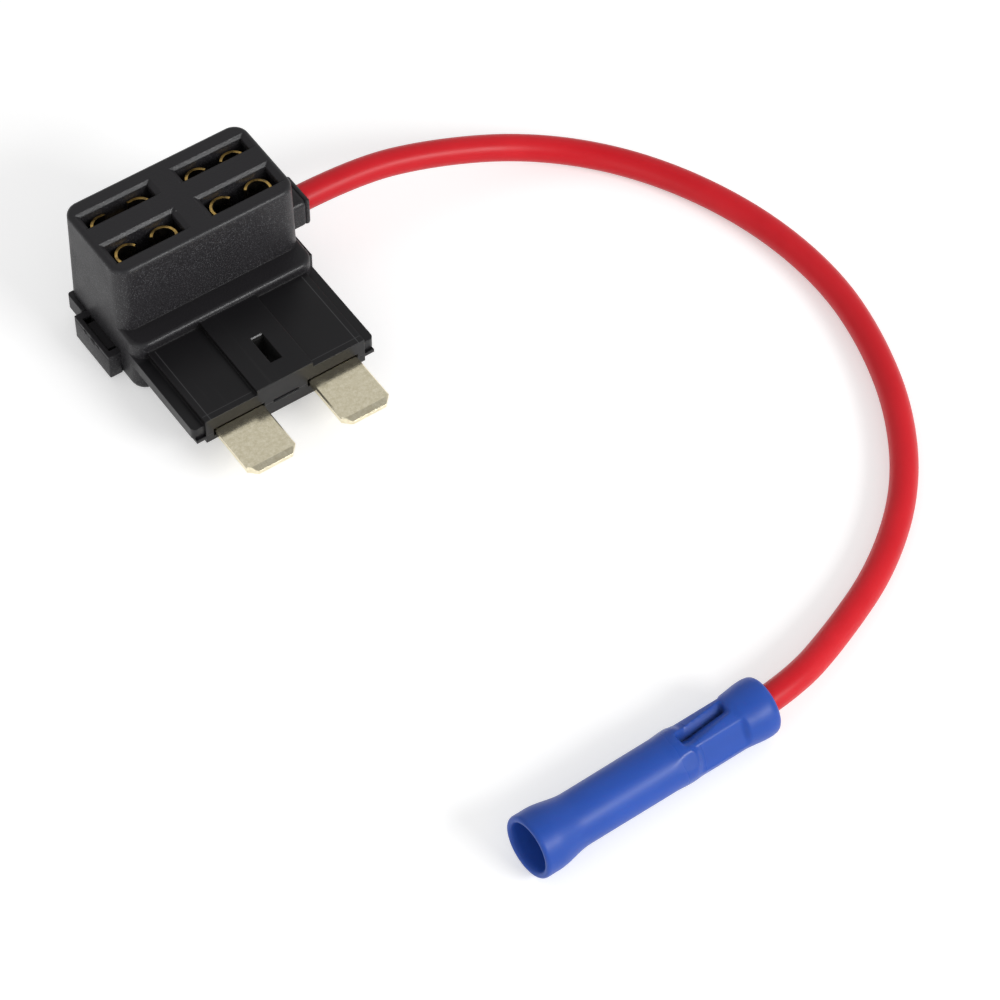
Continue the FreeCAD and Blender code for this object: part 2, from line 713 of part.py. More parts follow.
def connector():
    """Insulated butt connector: a sleeve with belled ends over a tinned barrel, crimped on the lead."""
    outer, near, far = "sleeve_diameter / 2", "near_bell_diameter / 2", "far_bell_diameter / 2"
    bore = "(sleeve_diameter / 2 - sleeve_wall)"
    barrel_out = f"({BARREL_IN} + barrel_length)"
    neck = "(sleeve_length - far_bell_length - far_bell_taper)"
    outside = turned("Outside", [
        ("0", "0"),
        ("0", near),
        ("near_bell_length", near),
        ("near_bell_length + near_bell_taper", outer),
        (f"{PRESS_NEAR} - press_slant / 2", outer),
        (PRESS_NEAR, f"{outer} + press_bulge"),
        (f"{PRESS_FAR} - press_bulge", f"{outer} + press_bulge"),
        (neck, outer),
        ("sleeve_length - far_bell_length", far),
        ("sleeve_length", far),
        ("sleeve_length", "0"),
    ])
    inside = turned("Inside", [
        ("-1", "0"),
        ("-1", f"{near} - bell_wall"),
        (f"{BARREL_IN} - barrel_lip", f"{near} - bell_wall"),
        (BARREL_IN, bore),
        (barrel_out, bore),
        (f"{barrel_out} + barrel_lip", f"{far} - bell_wall"),
        ("sleeve_length + 1", f"{far} - bell_wall"),
        ("sleeve_length + 1", "0"),
    ])
    # The tool stood a little askew, so the mark starts later at the front.
    plan = doc.addObject("PartDesign::Body", "Plan")
    late, early = f"{PRESS_NEAR} + press_slant / 2", f"{PRESS_NEAR} - press_slant / 2"
    edge = [(late, f"-{outer}"), (PRESS_FAR, f"-{outer}"), (PRESS_FAR, outer), (early, outer)]
    pad(plan, sketch(plan, "XY_Plane", "Askew", edge), "2 * sleeve_diameter")
    dent = doc.addObject("Part::Common", "Dent")
    dent.Base = press_mark(early, PRESS_FAR, "0")
    dent.Tool = plan
    inner_dent = press_mark(f"({early} - press_wall)", f"({PRESS_FAR} + press_wall)", "press_wall")
    sleeve = cut(outside, dent, cut(inside, inner_dent))
    finish("connector_sleeve", sleeve, f"{CONNECTOR_X}", f"{CONNECTOR_Y}", CONNECTOR_Z)

    strand = "strand_diameter / 2"
    barrel = turned("Barrel", [
        (BARREL_IN, "barrel_bore / 2"),
        (BARREL_IN, bore),
        (barrel_out, bore),
        (barrel_out, strand),
        (f"{barrel_out} - bared_length", strand),
        (f"{barrel_out} - bared_length - barrel_lip", "barrel_bore / 2"),
    ])
    finish("connector_barrel", cut(barrel, inner_dent), f"{CONNECTOR_X}", f"{CONNECTOR_Y}", CONNECTOR_Z)
    strands = rod("strand_diameter", "bared_length", ("0", "0", "0"))
    tip = f"{CONNECTOR_X} + {barrel_out} - bared_length"
    finish("strands_in_barrel", strands, tip, f"{CONNECTOR_Y}", CONNECTOR_Z)


upper_housing()
back_cover()
blade("supply_blade", -1, SUPPLY_BACK)
blade("load_blade", 1, LOAD_BACK)
contacts()
lead_root(lead_terminal())
lead()
connector()
doc.recompute()

for thing in doc.Objects:
    if {"Invalid", "Error"} & set(thing.State):
        raise RuntimeError(f"{thing.Label} failed: {thing.State}")
os.makedirs("parts", exist_ok=True)
for thing in parts:
    if thing.Shape.isNull() or not thing.Shape.isValid():
        raise RuntimeError(f"{thing.Label} has no valid shape")
    thing.Shape.exportStep(f"parts/{thing.Label}.step")
    limits = thing.Shape.optimalBoundingBox()
    low = [round(edge, 2) for edge in (limits.XMin, limits.YMin, limits.ZMin)]
    high = [round(edge, 2) for edge in (limits.XMax, limits.YMax, limits.ZMax)]
    print(thing.Label, len(thing.Shape.Solids), "solid", round(thing.Shape.Volume, 2), "mm3", low, high)
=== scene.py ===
import math

import bmesh
import bpy
from mathutils import Matrix, Vector


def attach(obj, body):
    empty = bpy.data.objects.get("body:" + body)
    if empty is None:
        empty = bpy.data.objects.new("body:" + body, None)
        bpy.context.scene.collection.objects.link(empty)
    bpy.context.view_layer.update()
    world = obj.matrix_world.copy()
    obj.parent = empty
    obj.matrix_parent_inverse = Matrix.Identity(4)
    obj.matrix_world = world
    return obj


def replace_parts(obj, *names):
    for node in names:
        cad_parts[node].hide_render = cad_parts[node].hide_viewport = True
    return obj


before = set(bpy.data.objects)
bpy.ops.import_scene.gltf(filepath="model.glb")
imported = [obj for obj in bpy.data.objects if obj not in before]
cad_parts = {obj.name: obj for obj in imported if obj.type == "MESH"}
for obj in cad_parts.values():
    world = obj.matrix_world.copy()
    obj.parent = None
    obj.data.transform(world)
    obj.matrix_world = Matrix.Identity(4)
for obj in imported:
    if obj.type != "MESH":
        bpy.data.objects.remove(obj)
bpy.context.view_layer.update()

# The part's frame: the housing's middle plane and back, as the CAD places them.
MIDDLE_X = -0.00065
BACK_Y = 0.014025
# Where the ledge ends and the plug begins.
PLUG_LINE = BACK_Y - 0.01235
# The plug's front, and how far its side panels reach from the middle plane.
PLUG_FRONT = BACK_Y - 0.02199
PANEL_EDGE = 0.0084
# The block's texture starts within this stretch, at the end of the plug.
BLOCK_STARTS = (PLUG_LINE - 0.0002, PLUG_LINE + 0.0002)
# The side panels' height, and their middle and half width, measured from the middle plane.
PLUG_HEIGHT = 0.00532
PANEL_MIDDLE = 0.0057
HALF_PANEL = 0.0026
# Mould lines: how far inside the panels' long and front edges, and half of each line's width.
LONG_INSET = 0.0006
FRONT_INSET = 0.00065
HALF_LONG_LINE = 0.00004
HALF_FRONT_LINE = 0.00003
# How far from the panels' height their top may be found.
HEIGHT_SLACK = 0.00004


def from_housing(x, y, z):
    """A place given in millimetres from the housing's middle plane, its back and the surface."""
    return Vector((x / 1000 + MIDDLE_X, y / 1000 + BACK_Y, z / 1000))


# The vent through the plug's band: its middle just below the band's top, and half of its width and length.
VENT_MIDDLE = from_housing(0.45, -18.27, 5.88)
VENT_HALF_WIDTH = 0.0006
VENT_HALF_LENGTH = 0.00166


# Camera: the photograph's view, with the top face's back left corner as the fixed point.
PHOTO_PIXELS = 1000
FOCAL_PIXELS = 4275
SENSOR_MM = 36
CAMERA_RIGHT = Vector((0.8246, -0.5657, 0.0006))
CAMERA_DOWN = Vector((-0.4481, -0.6540, -0.6095))
CAMERA_FORWARD = Vector((0.3452, 0.5023, -0.7928))
CORNER = from_housing(-9.42, -0.15, 14.1)
CORNER_PIXEL = (59.9, 208.2)
CORNER_DEPTH = 0.3808


def photo_camera():
    """The photograph's camera, found from the block's edges."""
    data = bpy.data.cameras.new("photo_camera")
    data.sensor_width = SENSOR_MM
    data.lens = FOCAL_PIXELS / PHOTO_PIXELS * SENSOR_MM
    data.clip_start = 0.01
    data.clip_end = 10
    camera = bpy.data.objects.new("photo_camera", data)
    bpy.context.scene.collection.objects.link(camera)
    across = (CORNER_PIXEL[0] - PHOTO_PIXELS / 2) / FOCAL_PIXELS * CORNER_DEPTH
    down = (CORNER_PIXEL[1] - PHOTO_PIXELS / 2) / FOCAL_PIXELS * CORNER_DEPTH
    eye = CORNER - CAMERA_FORWARD * CORNER_DEPTH - CAMERA_RIGHT * across - CAMERA_DOWN * down
    turn = Matrix((CAMERA_RIGHT, -CAMERA_DOWN, -CAMERA_FORWARD)).transposed().to_4x4()
    camera.matrix_world = Matrix.Translation(eye) @ turn.to_quaternion().to_matrix().to_4x4()
    bpy.context.scene.camera = camera


def lamp(name, place, target, energy, width, height=None):
    """A soft rectangular lamp that faces a target."""
    data = bpy.data.lights.new(name, "AREA")
    data.shape = "RECTANGLE"
    data.size = width
    data.size_y = height or width
    data.energy = energy
    light = bpy.data.objects.new(name, data)
    light.location = place
    light.rotation_euler = (Vector(target) - Vector(place)).to_track_quat("-Z", "Y").to_euler()
    bpy.context.scene.collection.objects.link(light)


# A colour mix node's two colours in and its colour out, by number.
FIRST_COLOUR = 6
SECOND_COLOUR = 7
MIXED_COLOUR = 2
# The share of a speck's radius that is solid before it fades.
SPECK_CORE = 0.6


class Shader:
    """A node material built from a principled shader."""

    def __init__(self, name):
        self.material = bpy.data.materials.new(name)
        self.material.use_nodes = True
        self.tree = self.material.node_tree
        self.tree.nodes.clear()
        self.output = self.node("ShaderNodeOutputMaterial")
        self.surface = self.node("ShaderNodeBsdfPrincipled")
        self.link(self.surface, "BSDF", self.output, "Surface")
        self.place = self.node("ShaderNodeTexCoord")

    def node(self, kind, **settings):
        made = self.tree.nodes.new(kind)
        for name, value in settings.items():
            setattr(made, name, value)
        return made

    def link(self, source, output, target, name):
        self.tree.links.new(source.outputs[output], target.inputs[name])

    def fix(self, **values):
        for name, value in values.items():
            self.surface.inputs[name.replace("_", " ")].default_value = value

    def noise(self, scale, detail=2.0, roughness=0.5, stretch=(1, 1, 1)):
        """Fractal noise in the part's own space."""
        mapping = self.node("ShaderNodeMapping")
        mapping.inputs["Scale"].default_value = stretch
        self.link(self.place, "Object", mapping, "Vector")
        noise = self.node("ShaderNodeTexNoise")
        noise.inputs["Scale"].default_value = scale
        noise.inputs["Detail"].default_value = detail
        noise.inputs["Roughness"].default_value = roughness
        self.link(mapping, "Vector", noise, "Vector")
        return noise

    def ramp(self, source, output, stops):
        """A colour ramp from (position, colour) stops."""
        ramp = self.node("ShaderNodeValToRGB")
        bar = ramp.color_ramp.elements
        while len(bar) < len(stops):
            bar.new(0.5)
        for stop, (position, colour) in zip(bar, stops):
            stop.position = position
            stop.color = (*colour, 1)
        self.link(source, output, ramp, "Fac")
        return ramp

    def spread(self, source, output, low, high, from_low=0.3, from_high=0.7):
        """A value mapped from one range to another."""
        spread = self.node("ShaderNodeMapRange")
        limits = {"From Min": from_low, "From Max": from_high, "To Min": low, "To Max": high}
        for name, value in limits.items():
            spread.inputs[name].default_value = value
        self.link(source, output, spread, "Value")
        return spread

    def bump(self, source, output, strength, distance, below=None):
        """A bump from a height, over an earlier bump or rounded edge if there is one."""
        bump = self.node("ShaderNodeBump")
        bump.inputs["Strength"].default_value = strength
        bump.inputs["Distance"].default_value = distance
        self.link(source, output, bump, "Height")
        if below:
            self.link(below, "Normal", bump, "Normal")
        self.link(bump, "Normal", self.surface, "Normal")
        return bump

    def soft_edges(self, radius):
        """Shade edges as if they were slightly rounded."""
        edges = self.node("ShaderNodeBevel", samples=4)
        edges.inputs["Radius"].default_value = radius
        self.link(edges, "Normal", self.surface, "Normal")
        return edges

    def openness(self, distance, low=0.35, high=0.8):
        """How open a place is to the light: 0 deep in a crevice and 1 on an open face."""
        shade = self.node("ShaderNodeAmbientOcclusion", samples=6, only_local=True)
        shade.inputs["Distance"].default_value = distance
        return self.spread(shade, "AO", 0.0, 1.0, low, high)

    def along(self, axis, low, high, at_low=0.0, at_high=1.0):
        """A value that changes between two places along one axis of the part."""
        parts = self.node("ShaderNodeSeparateXYZ")
        self.link(self.place, "Object", parts, "Vector")
        return self.spread(parts, axis, at_low, at_high, low, high)

    def blend(self, factor, first, second):
        """Mix two colours, each a (node, output) pair or a plain colour, by a linked factor."""
        mix = self.node("ShaderNodeMix", data_type="RGBA")
        self.link(*factor, mix, 0)
        for slot, colour in ((FIRST_COLOUR, first), (SECOND_COLOUR, second)):
            if isinstance(colour[0], float):
                mix.inputs[slot].default_value = (*colour, 1)
            else:
                self.link(*colour, mix, slot)
        return mix, MIXED_COLOUR

    def math(self, operation, *inputs):
        """A sum on values, each a node, a (node, output) pair or a number."""
        made = self.node("ShaderNodeMath", operation=operation)
        for slot, value in enumerate(inputs):
            if isinstance(value, (int, float)):
                made.inputs[slot].default_value = value
            elif isinstance(value, tuple):
                self.link(*value, made, slot)
            else:
                self.link(value, "Value", made, slot)
        return made

    def specks(self, scale, size, share):
        """A few tiny round specks: 1 inside a speck and 0 elsewhere."""
        cells = self.node("ShaderNodeTexVoronoi")
        cells.inputs["Scale"].default_value = scale
        self.link(self.place, "Object", cells, "Vector")
        near = self.spread(cells, "Distance", 1.0, 0.0, SPECK_CORE * size, size)
        parts = self.node("ShaderNodeSeparateColor")
        self.link(cells, "Color", parts, "Color")
        chosen = self.spread(parts, "Red", 0.0, 1.0, 1 - share, 1 - share + 0.01)
        return self.math("MULTIPLY", (near, "Result"), (chosen, "Result"))


# The black plastic's tones, each laid over the ones before it.
PLUG_TONE = (0.0066, 0.0062, 0.0072)
BLOCK_TONE = (0.0150, 0.0140, 0.0160)
# Painted highlight: a lighter tone for the rounded edges that face up and to the front or back.
EDGE_HIGHLIGHT_TONE = (0.018, 0.018, 0.02)
# The spark-eroded texture's light specks, painted as glints.
SPARK_GLINT_TONE = (0.095, 0.095, 0.1)
SCRATCH_TONE = (0.02, 0.02, 0.021)
LINE_TONE = (0.045, 0.045, 0.047)
DUST_TONE = (0.5, 0.5, 0.5)
# Painted shade inside the vent.
VENT_SHADE_TONE = (0.0015, 0.0012, 0.001)
# Painted shade in crevices.
CREVICE_SHADE_TONE = (0.003, 0.0025, 0.002)


def housing_plastic():
    """Black moulded nylon: textured walls on the block with painted glints, burnished edges with a painted
    highlight, mould lines on the plug, and painted shade in the vent and crevices.
    """
    shader = Shader("housing_plastic")
    shader.fix(Specular_IOR_Level=0.3)
    block = shader.along("Y", *BLOCK_STARTS)
    facing = shader.node("ShaderNodeSeparateXYZ")
    shader.link(shader.place, "Normal", facing, "Vector")
    wall = shader.spread(facing, "Z", 1.0, 0.0, 0.3, 0.6)
    turned = shader.math("MINIMUM", shader.math("ABSOLUTE", (facing, "Y")), (facing, "Z"))
    edge = shader.spread(turned, "Value", 0.0, 1.0, 0.2, 0.5)
    grain = shader.noise(4300, 2, 0.55)
    cloud = shader.noise(260, 3, 0.5)
    sparks = shader.noise(10500, 1, 0.5)
    scratches = shader.noise(700, 2, 0.6, (1.0, 0.035, 1.0))
    dust = shader.specks(620, 0.055, 0.05)
    spark = shader.spread(sparks, "Fac", 0.0, 1.0, 0.55, 0.75)
    on_block = shader.math("MULTIPLY", (spark, "Result"), (block, "Result"))
    textured = shader.math("MULTIPLY", on_block, (wall, "Result"))
    scratch = shader.spread(scratches, "Fac", 0.0, 0.5, 0.68, 0.76)
    hollow = vent_inside(shader)
    open_to_light = shader.openness(0.003, 0.1, 0.55)
    tone = shader.blend((block, "Result"), PLUG_TONE, BLOCK_TONE)
    # Painted highlight: the rounded edges facing up and to the front or back are made lighter.
    edge_highlighted = shader.blend((edge, "Result"), tone, EDGE_HIGHLIGHT_TONE)
    # Painted glints: light specks of the spark-eroded texture on the block's walls.
    plain = shader.blend((textured, "Value"), edge_highlighted, SPARK_GLINT_TONE)
    marked = shader.blend((scratch, "Result"), plain, SCRATCH_TONE)
    lined = shader.blend((mould_lines(shader), "Value"), marked, LINE_TONE)
    dusty = shader.blend((dust, "Value"), lined, DUST_TONE)
    # Painted shade: the walls inside the vent are made near black.
    dark = shader.blend((hollow, "Value"), dusty, VENT_SHADE_TONE)
    # Painted shade: the colour darkens in crevices, by how open each place is to the light.
    shaded = shader.blend((open_to_light, "Result"), CREVICE_SHADE_TONE, dark)
    shader.link(*shaded, shader.surface, "Base Color")
    gloss = shader.spread(cloud, "Fac", 0.0, 0.1)
    base_gloss = shader.along("Y", *BLOCK_STARTS, 0.3, 0.4)
    rough = shader.math("ADD", (gloss, "Result"), (base_gloss, "Result"))
    smoother = shader.spread(edge, "Result", 0.0, -0.12, 0.0, 1.0)
    burnished = shader.math("ADD", rough, (smoother, "Result"))
    closed = shader.spread(open_to_light, "Result", 0.4, 0.0, 0.0, 1.0)
    deep = shader.math("ADD", shader.math("MULTIPLY", (hollow, "Value"), 0.6), (closed, "Result"))
    roughness = shader.math("ADD", burnished, deep)
    shader.link(roughness, "Value", shader.surface, "Roughness")
    relief = shader.math("MULTIPLY", (grain, "Fac"), (block, "Result"))
    edges = shader.soft_edges(0.00015)
    first = shader.bump(relief, "Value", 0.5, 0.00004, edges)
    shader.bump(cloud, "Fac", 0.1, 0.00006, first)
    return shader.material


def mould_lines(shader):
    """Faint witness lines on the plug's side panels, inside the long edges and behind the front edge."""
    parts = shader.node("ShaderNodeSeparateXYZ")
    shader.link(shader.place, "Object", parts, "Vector")
    across = shader.math("ABSOLUTE", shader.math("SUBTRACT", (parts, "X"), MIDDLE_X))
    long_line = shader.math("COMPARE", across, PANEL_EDGE - LONG_INSET, HALF_LONG_LINE)
    front_line = shader.math("COMPARE", (parts, "Y"), PLUG_FRONT + FRONT_INSET, HALF_FRONT_LINE)
    either = shader.math("MAXIMUM", long_line, front_line)
    panel = shader.math("COMPARE", across, PANEL_MIDDLE, HALF_PANEL)
    on_top = shader.math("COMPARE", (parts, "Z"), PLUG_HEIGHT, HEIGHT_SLACK)
    before = shader.math("LESS_THAN", (parts, "Y"), BLOCK_STARTS[0])
    kept = shader.math("MULTIPLY", shader.math("MULTIPLY", panel, on_top), before)
    return shader.math("MULTIPLY", either, kept)


def vent_inside(shader):
    """1 on the walls inside the vent's slot, where shade is painted dark, and 0 elsewhere."""
    parts = shader.node("ShaderNodeSeparateXYZ")
    shader.link(shader.place, "Object", parts, "Vector")
    across = shader.math("COMPARE", (parts, "X"), VENT_MIDDLE.x, VENT_HALF_WIDTH)
    along = shader.math("COMPARE", (parts, "Y"), VENT_MIDDLE.y, VENT_HALF_LENGTH)
    below = shader.math("LESS_THAN", (parts, "Z"), VENT_MIDDLE.z)
    return shader.math("MULTIPLY", shader.math("MULTIPLY", across, along), below)


def tinned_sheet(name, colour_low, colour_high, rough=(0.14, 0.24)):
    """Tinned brass sheet: warm satin metal, finely mottled, with faint rolling marks and small pits."""
    shader = Shader(name)
    shader.fix(Metallic=1.0)
    rolled = shader.noise(1500, 3, 0.6, (1.0, 0.2, 1.0))
    pits = shader.noise(5200, 2, 0.6)
    mottle = shader.noise(2400, 4, 0.75)
    colour = shader.ramp(mottle, "Fac", ((0.35, colour_low), (0.65, colour_high)))
    shader.link(colour, "Color", shader.surface, "Base Color")
    gloss = shader.spread(rolled, "Fac", *rough)
    shader.link(gloss, "Result", shader.surface, "Roughness")
    edges = shader.soft_edges(0.00005)
    first = shader.bump(rolled, "Fac", 0.1, 0.00002, edges)
    shader.bump(pits, "Fac", 0.3, 0.00002, first)
    return shader.material


def contact_brass():
    """Plated contact sheet: dull grey faces, and bright brass where the sheet was cut."""
    shader = Shader("contact_brass")
    shader.fix(Metallic=1.0)
    parts = shader.node("ShaderNodeSeparateXYZ")
    shader.link(shader.place, "Normal", parts, "Vector")
    cut_edge = shader.spread(parts, "Z", 0.0, 1.0, 0.7, 0.9)
    cloud = shader.noise(1300, 3, 0.6)
    face = shader.ramp(cloud, "Fac", ((0.3, (0.22, 0.2, 0.17)), (0.7, (0.34, 0.31, 0.26))))
    edge = shader.ramp(cloud, "Fac", ((0.36, (0.2, 0.14, 0.06)), (0.56, (0.72, 0.47, 0.14))))
    colour = shader.blend((cut_edge, "Result"), (face, "Color"), (edge, "Color"))
    shader.link(*colour, shader.surface, "Base Color")
    gloss = shader.spread(cloud, "Fac", 0.24, 0.38)
    shader.link(gloss, "Result", shader.surface, "Roughness")
    shader.bump(cloud, "Fac", 0.15, 0.00003)
    return shader.material


def insulation():
    """Red vinyl: satin, a little uneven along its length, slightly translucent."""
    shader = Shader("insulation")
    shader.fix(Specular_IOR_Level=0.26, Subsurface_Weight=0.1, Subsurface_Scale=0.0006)
    cloud = shader.noise(180, 3, 0.5)
    grain = shader.noise(2600, 2, 0.5)
    colour = shader.ramp(cloud, "Fac", ((0.3, (0.58, 0.007, 0.015)), (0.7, (0.65, 0.011, 0.02))))
    shader.link(colour, "Color", shader.surface, "Base Color")
    gloss = shader.spread(cloud, "Fac", 0.34, 0.44)
    shader.link(gloss, "Result", shader.surface, "Roughness")
    shader.bump(grain, "Fac", 0.08, 0.00003)
    return shader.material


# The stretches of the part's X axis where the polish beside the tool's mark comes in and goes out.
POLISH_STARTS = (0.0036, 0.0052)
POLISH_ENDS = (0.0068, 0.0075)


def sleeve_nylon():
    """Blue nylon: satin, slightly translucent, with faint flow marks, shinier beside the tool's mark, with
    painted shade in its crevices.
    """
    shader = Shader("sleeve_nylon")
    shader.fix(Specular_IOR_Level=0.27, Subsurface_Weight=0.12, Subsurface_Scale=0.0008)
    cloud = shader.noise(240, 3, 0.5, (0.4, 1, 1))
    grain = shader.noise(2400, 2, 0.5)
    colour = shader.ramp(cloud, "Fac", ((0.3, (0.016, 0.068, 0.355)), (0.7, (0.022, 0.082, 0.42))))
    open_to_light = shader.openness(0.0022)
    # Painted shade: the blue darkens in crevices such as the indent's back wall, by how open each place is
    # to the light.
    shaded = shader.blend((open_to_light, "Result"), (0.004, 0.018, 0.1), (colour, "Color"))
    shader.link(*shaded, shader.surface, "Base Color")
    gloss = shader.spread(cloud, "Fac", 0.36, 0.42)
    before = shader.along("X", *POLISH_STARTS, 0.0, -0.15)
    after = shader.along("X", *POLISH_ENDS, 0.0, 0.15)
    dull = shader.spread(open_to_light, "Result", 0.35, 0.0, 0.0, 1.0)
    polished = shader.math("ADD", (before, "Result"), (after, "Result"))
    rough = shader.math("ADD", shader.math("ADD", (gloss, "Result"), polished), (dull, "Result"))
    shader.link(rough, "Value", shader.surface, "Roughness")
    edges = shader.soft_edges(0.00012)
    first = shader.bump(cloud, "Fac", 0.12, 0.0001, edges)
    shader.bump(grain, "Fac", 0.06, 0.00003, first)
    return shader.material


def copper_strands():
    """Bare copper strands: fine twisted wires."""
    shader = Shader("copper_strands")
    shader.fix(Metallic=1.0, Roughness=0.3)
    cloud = shader.noise(1500, 2, 0.5, (0.2, 1, 1))
    colour = shader.ramp(cloud, "Fac", ((0.3, (0.62, 0.3, 0.17)), (0.7, (0.78, 0.42, 0.27))))
    shader.link(colour, "Color", shader.surface, "Base Color")
    shader.bump(cloud, "Fac", 0.4, 0.0001)
    return shader.material


def dress(node, material):
    """Give a CAD node's object one material."""
    thing = bpy.data.objects[node]
    for slot in thing.material_slots:
        slot.material = material
    if not thing.material_slots:
        thing.data.materials.append(material)


# Edges sharper than this angle stay crisp. The housing's small bevels are shaded smooth.
CREASE = 32
HOUSING_CREASE = 44


def smooth(thing, angle=CREASE):
    """Smooth shading that keeps edges sharper than the angle."""
    for polygon in thing.data.polygons:
        polygon.use_smooth = True
    thing.data.set_sharp_from_angle(angle=math.radians(angle))


# The free lead: the route's points, in millimetres from the housing, as in the CAD model.
LEAD_DIAMETER = 2.6
LEAD_POINTS = [
    (12.17, -5.0, 5.9),
    (18.67, -5.0, 5.9),
    (26.2, -6.2, 4.75),
    (34.6, -8.4, 2.5),
    (41.2, -13.2, 1.3),
    (45.6, -20.3, 1.3),
    (48.5, -28.6, 1.3),
    (49.4, -37.4, 1.3),
    (48.1, -45.3, 1.3),
    (45.2, -53.2, 1.3),
    (40.3, -60.5, 1.3),
    (33.4, -66.1, 1.3),
    (25.6, -69.8, 1.7),
    (18.35, -72.62, 2.78),
    (12.15, -72.85, 2.85),
]


def free_lead(material):
    """The lead as one smooth round cord from the boss to the connector's barrel."""
    curve = bpy.data.curves.new("lead_cord", "CURVE")
    curve.dimensions = "3D"
    curve.bevel_depth = LEAD_DIAMETER / 2000
    curve.bevel_resolution = 8
    curve.use_fill_caps = True
    curve.resolution_u = 14
    spline = curve.splines.new("NURBS")
    spline.points.add(len(LEAD_POINTS) - 1)
    for point, place in zip(spline.points, LEAD_POINTS):
        point.co = (*from_housing(*place), 1)
    spline.order_u = 3
    spline.use_endpoint_u = True
    cord = bpy.data.objects.new("lead_cord", curve)
    bpy.context.scene.collection.objects.link(cord)
    curve.materials.append(material)
    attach(cord, "root")
    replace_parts(cord, "lead")


# The connector's sleeve, in millimetres: its CAD axis, and how far its two ends lie off that axis.
SLEEVE_START = (-9.05, -73.0, 2.925)
SLEEVE_LENGTH = 24.4
SLEEVE_DRIFT = ((-0.42, -0.45, 0.01), (0.1, 0.32, -0.18))
# The mouth is cut a little out of square, by this much on the side at the angle, fading along the sleeve.
MOUTH_SLANT = 0.22
SLANT_ANGLE = 122
SLANT_FADES = (0, 3)
# Outer radius along the sleeve as (place, radius): near bell, neck, body, pressed stretch and far bell.
SLEEVE_OUTSIDE = [(0.3, 2.92), (1.5, 2.92), (4.9, 2.43), (13.6, 2.46), (15.4, 2.56), (16.6, 2.5),
                  (20.7, 2.5), (23.4, 2.74), (23.8, 2.73)]
SLEEVE_INSIDE = [(0.45, 2.28), (2.9, 2.24), (3.3, 2.03), (21.2, 2.03), (21.8, 2.1), (24.0, 2.12)]
# Rounded lips of the mouth and of the far end.
MOUTH_LIP = [(0.2, 2.31), (0.06, 2.4), (0.0, 2.52), (0.0, 2.68), (0.05, 2.8), (0.15, 2.88)]
FAR_LIP = [(24.05, 2.68), (24.28, 2.56), (24.4, 2.42), (24.4, 2.3), (24.3, 2.18)]
AROUND = 144
# The barrel inside: its two ends, its bore's radius, and the least walls of sleeve and barrel.
BARREL_ENDS = (3.35, 21.15)
BARREL_BORE = 1.175
SLEEVE_WALL = 0.3
BARREL_WALL = 0.28
# What the crimping tool left. A stretch is where it begins, is full, begins to fade and has ended.
SADDLE_STRETCH = (15.7, 16.3, 20.6, 21.3)
SADDLE_ARC = (30, 60, 165, 185)
SADDLE_DEPTH = 0.13
# Each flat's angle, its distance from the axis and its stretch. None reaches further round than the arc.
PRESSED_FLATS = (
    (150, 2.08, (16.05, 16.65, 20.75, 21.35)),
    (8, 2.08, (15.5, 16.1, 20.75, 21.35)),
    (141, 2.43, (13.3, 15.0, 16.2, 16.5)),
)
FLAT_ARC = 1.2
# The indent on top turns a little as it runs from its start, in degrees for each millimetre.
INDENT_STRETCH = (15.3, 15.7, 20.35, 20.7)
INDENT_START = 15.5
INDENT_ANGLE = 84
INDENT_SKEW = 3.8
# It is steep at the back and gentle at the front.
INDENT_DEPTH = 1.0
INDENT_FRONT = 1.35
INDENT_BACK = 0.5


def eased(low, high, at):
    """0 below a range, 1 above it and a smooth step between."""
    t = min(1.0, max(0.0, (at - low) / (high - low)))
    return t * t * (3 - 2 * t)


def within(stretch, at):
    """1 in the middle of a stretch, 0 outside it and smooth steps between."""
    begin, full, fade, end = stretch
    return eased(begin, full, at) - eased(fade, end, at)


def profile(knots, at):
    """A radius eased between the knots of a profile."""
    for (start, first), (stop, second) in zip(knots, knots[1:]):
        if at <= stop:
            return first + (second - first) * eased(start, stop, at)
    return knots[-1][1]


def pressed(at, angle, radius):
    """The radius left by the crimping tool: a lower saddle, flats on both sides and an indent on top."""
    turn = math.degrees(angle)
    radius -= SADDLE_DEPTH * within(SADDLE_STRETCH, at) * within(SADDLE_ARC, turn)
    for middle, distance, stretch in PRESSED_FLATS:
        away = math.radians((turn - middle + 180) % 360 - 180)
        if abs(away) < FLAT_ARC:
            radius -= max(0.0, radius - distance / math.cos(away)) * within(stretch, at)
    valley = INDENT_ANGLE - INDENT_SKEW * (at - INDENT_START)
    across = radius * math.radians(turn - valley)
    slope = across / INDENT_FRONT if across > 0 else -across / INDENT_BACK
    return radius - INDENT_DEPTH * max(0.0, 1 - slope) * within(INDENT_STRETCH, at)


def pressed_outside(at, angle):
    """The sleeve's outer radius."""
    return pressed(at, angle, profile(SLEEVE_OUTSIDE, at))


def bore(at, angle):
    """The sleeve's inner radius, pushed in where the outside is, which is the barrel's outer radius too."""
    return min(profile(SLEEVE_INSIDE, at), pressed_outside(at, angle) - SLEEVE_WALL)


def barrel_bore(at, angle):
    """The barrel's inner radius."""
    return min(BARREL_BORE, bore(at, angle) - BARREL_WALL)


def places(start, stop, step):
    """Evenly spaced places along the sleeve, both ends included."""
    steps = round(abs(stop - start) / step)
    return [start + (stop - start) * done / steps for done in range(steps + 1)]


